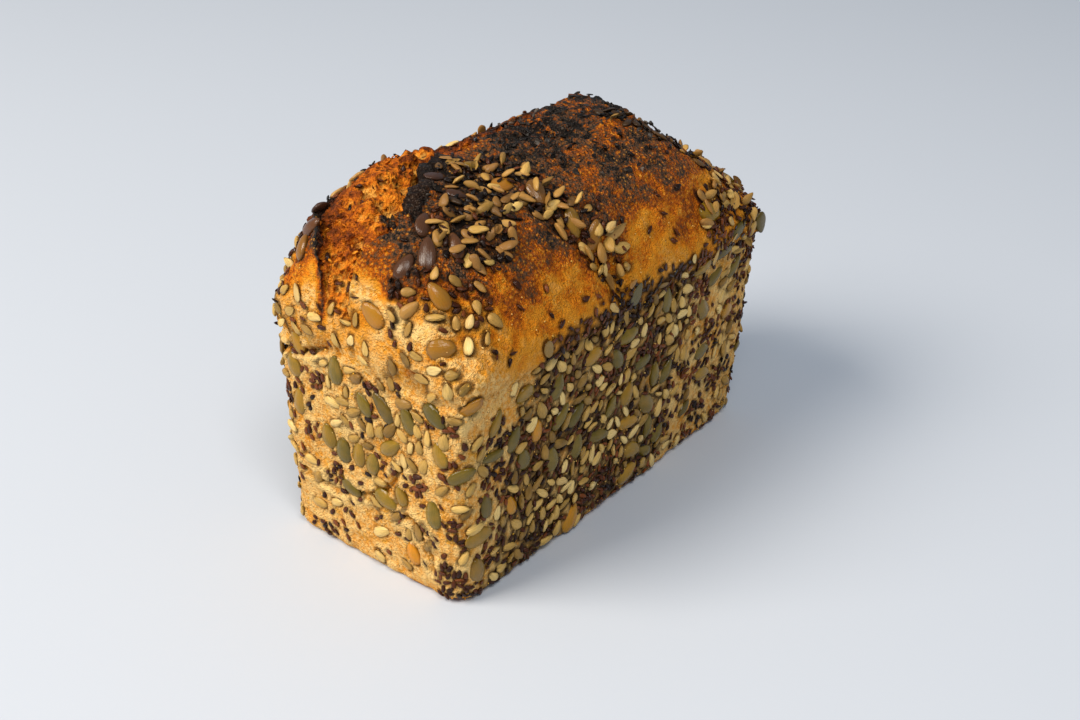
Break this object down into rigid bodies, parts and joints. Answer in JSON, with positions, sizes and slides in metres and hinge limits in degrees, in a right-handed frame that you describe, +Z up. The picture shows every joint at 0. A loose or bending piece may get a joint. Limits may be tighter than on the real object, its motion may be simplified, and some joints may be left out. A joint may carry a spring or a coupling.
{
  "type": "cornmeal pullman loaf",
  "caption": "Tall tin loaf with straight seeded walls, a rounded foot and a domed, slashed, dark-baked top crusted with pumpkin, sunflower and flax seeds.",
  "frame": {"origin": "on the table under the middle of the loaf", "axes": "+Z up; +Y along the loaf, away from the end where the slash has torn open; +X to the side that shows its whole seeded wall"},
  "size_m": [0.1178, 0.2303, 0.167],
  "materials": {
    "crust": "matte baked crust, golden at the walls, browned and charred on the dome",
    "pumpkin_seed": "satin green-brown seed skin",
    "sunflower_seed": "satin toasted kernel",
    "flax_seed": "glossy dark red-brown seed skin",
    "char": "matte burnt flakes"
  },
  "bodies": {
    "root": {"loaf": "crust"}
  },
  "joints": []
}
